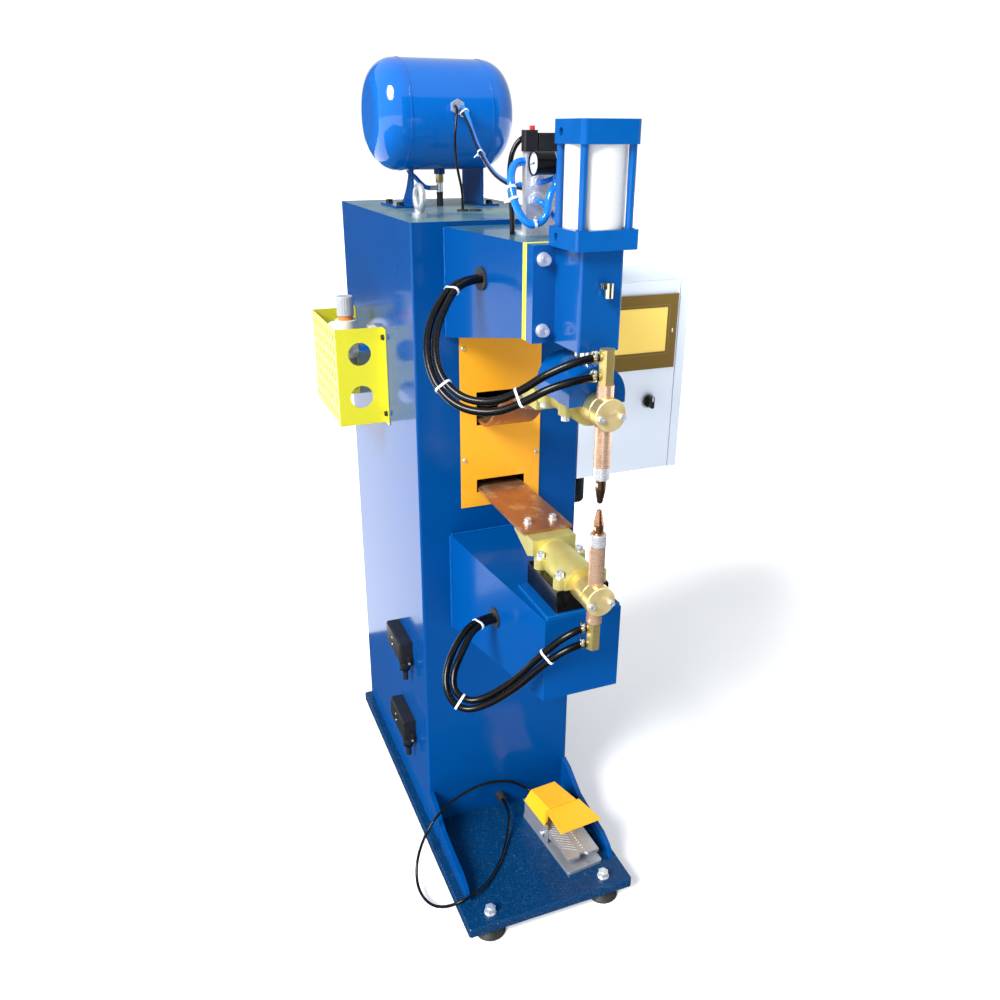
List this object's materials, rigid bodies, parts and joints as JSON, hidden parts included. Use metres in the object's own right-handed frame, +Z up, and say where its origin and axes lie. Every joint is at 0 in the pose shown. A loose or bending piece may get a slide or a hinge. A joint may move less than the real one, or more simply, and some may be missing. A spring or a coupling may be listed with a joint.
{
  "type": "pneumatic spot welder",
  "caption": "Floor-standing pneumatic spot welding machine with a sliding upper electrode, fixed lower arm, air tank, control cabinet and foot pedal.",
  "frame": {"origin": "on the floor at the middle of the machine's footprint, the regulator guard to the cabinet and the electrode clamp to the base plate's rear edge", "axes": "+Z up, +Y towards the back of the machine, +X towards the control cabinet"},
  "size_m": [0.659, 0.971, 1.5958],
  "materials": {
    "blue_paint": "deep blue gloss machine enamel",
    "blue_tank": "brighter blue gloss enamel",
    "orange_paint": "orange gloss enamel",
    "yellow_paint": "yellow gloss enamel",
    "yellow_plastic": "amber yellow moulded plastic",
    "grey_paint": "light grey powder coat",
    "white_barrel": "off-white paint",
    "cast_brass": "rough cast brass",
    "turned_brass": "turned satin brass",
    "copper": "dull copper alloy",
    "chrome": "hard chromed",
    "zinc_steel": "zinc-plated steel",
    "steel_core": "dark laminated steel",
    "aluminium": "satin cast and machined aluminium",
    "black_rubber": "black rubber",
    "black_plastic": "matt black plastic",
    "black_steel": "black oxide steel",
    "grey_plastic": "grey plastic",
    "off_white_plastic": "off-white plastic",
    "blue_hose": "blue polyurethane tube",
    "hmi_face": "bronze bezel round a gold screen"
  },
  "bodies": {
    "frame": {"base_plate": "blue_paint", "levelling_feet": "black_rubber", "gussets": "blue_paint", "column_shell": "blue_paint", "rear_cover": "blue_paint", "upper_arm": "blue_paint", "lower_knee": "blue_paint", "front_panel": "orange_paint", "structure_fasteners": "zinc_steel", "welding_transformer": "steel_core", "thyristor_module": "aluminium", "head_gasket": "yellow_paint", "head_housing": "blue_paint", "cylinder_caps": "blue_paint", "cylinder_barrel": "white_barrel", "tie_rods": "blue_paint", "oil_cup": "turned_brass", "lifting_eyes": "zinc_steel", "lower_bus_bar": "copper", "insulator_block": "black_plastic", "lower_saddle": "cast_brass", "lower_arm": "turned_brass", "lower_clamp_cap": "turned_brass", "lower_screws": "zinc_steel", "lower_holder": "copper", "lower_tip": "copper", "lower_water_fitting": "turned_brass", "lower_hoses": "black_rubber", "air_hoses": "blue_hose", "grommets": "black_rubber", "air_tank": "blue_tank", "tank_fittings": "turned_brass", "black_bolts": "black_steel", "valve_bracket": "aluminium", "solenoid_valve": "black_plastic", "pressure_gauge": "black_plastic", "regulator_body": "off_white_plastic", "regulator_guard": "yellow_paint", "connector_hoods": "black_plastic", "cabinet_body": "grey_paint", "pedal_base": "aluminium", "pedal_hood": "yellow_plastic", "pedal_cable": "black_rubber", "upper_hoses": "black_rubber", "upper_shunt": "copper"},
    "selector": {"selector_knob": "black_plastic"},
    "regulator_dial": {"regulator_knob": "grey_plastic"},
    "oil_lid": {"oil_cup_lid": "turned_brass"},
    "treadle": {"pedal_treadle": "aluminium"},
    "door": {"cabinet_door": "grey_paint", "hmi_panel": "hmi_face"},
    "ram": {"ram_rods": "chrome", "ram_block": "blue_paint", "upper_arm_bar": "turned_brass", "upper_saddle": "cast_brass", "upper_clamp_cap": "turned_brass", "upper_screws": "zinc_steel", "upper_holder": "copper", "upper_tip": "copper", "upper_water_fitting": "turned_brass"}
  },
  "joints": [
    {"name": "ram_slide", "type": "slide", "parent": "frame", "child": "ram", "axis": [0, 0, -1], "range_m": [-0.018, 0.0105], "deforming": ["upper_hoses", "upper_shunt"]},
    {"name": "treadle_hinge", "type": "hinge", "parent": "frame", "child": "treadle", "pos_m": [0.01712, -0.19705, 0.072], "axis": [0.9954, 0.0958, 0], "range_deg": [0, 7], "stiffness_Nm_per_rad": 6, "springref_deg": -14.32},
    {"name": "door_hinge", "type": "hinge", "parent": "frame", "child": "door", "pos_m": [0.3075, -0.0545, 1.008], "axis": [0, 0, 1], "range_deg": [0, 110]},
    {"name": "selector_turn", "type": "hinge", "parent": "door", "child": "selector", "pos_m": [0.2505, -0.0535, 0.966], "axis": [0, -1, 0], "range_deg": [-45, 45]},
    {"name": "regulator_turn", "type": "hinge", "parent": "frame", "child": "regulator_dial", "pos_m": [-0.2935, 0.2215, 1.134], "axis": [0, 0, 1], "range_deg": [-540, 540]},
    {"name": "oil_lid_hinge", "type": "hinge", "parent": "frame", "child": "oil_lid", "pos_m": [-0.0695, -0.4385, 1.2704], "axis": [0, -1, 0], "range_deg": [0, 100], "stiffness_Nm_per_rad": 0.004, "springref_deg": -34.38}
  ]
}
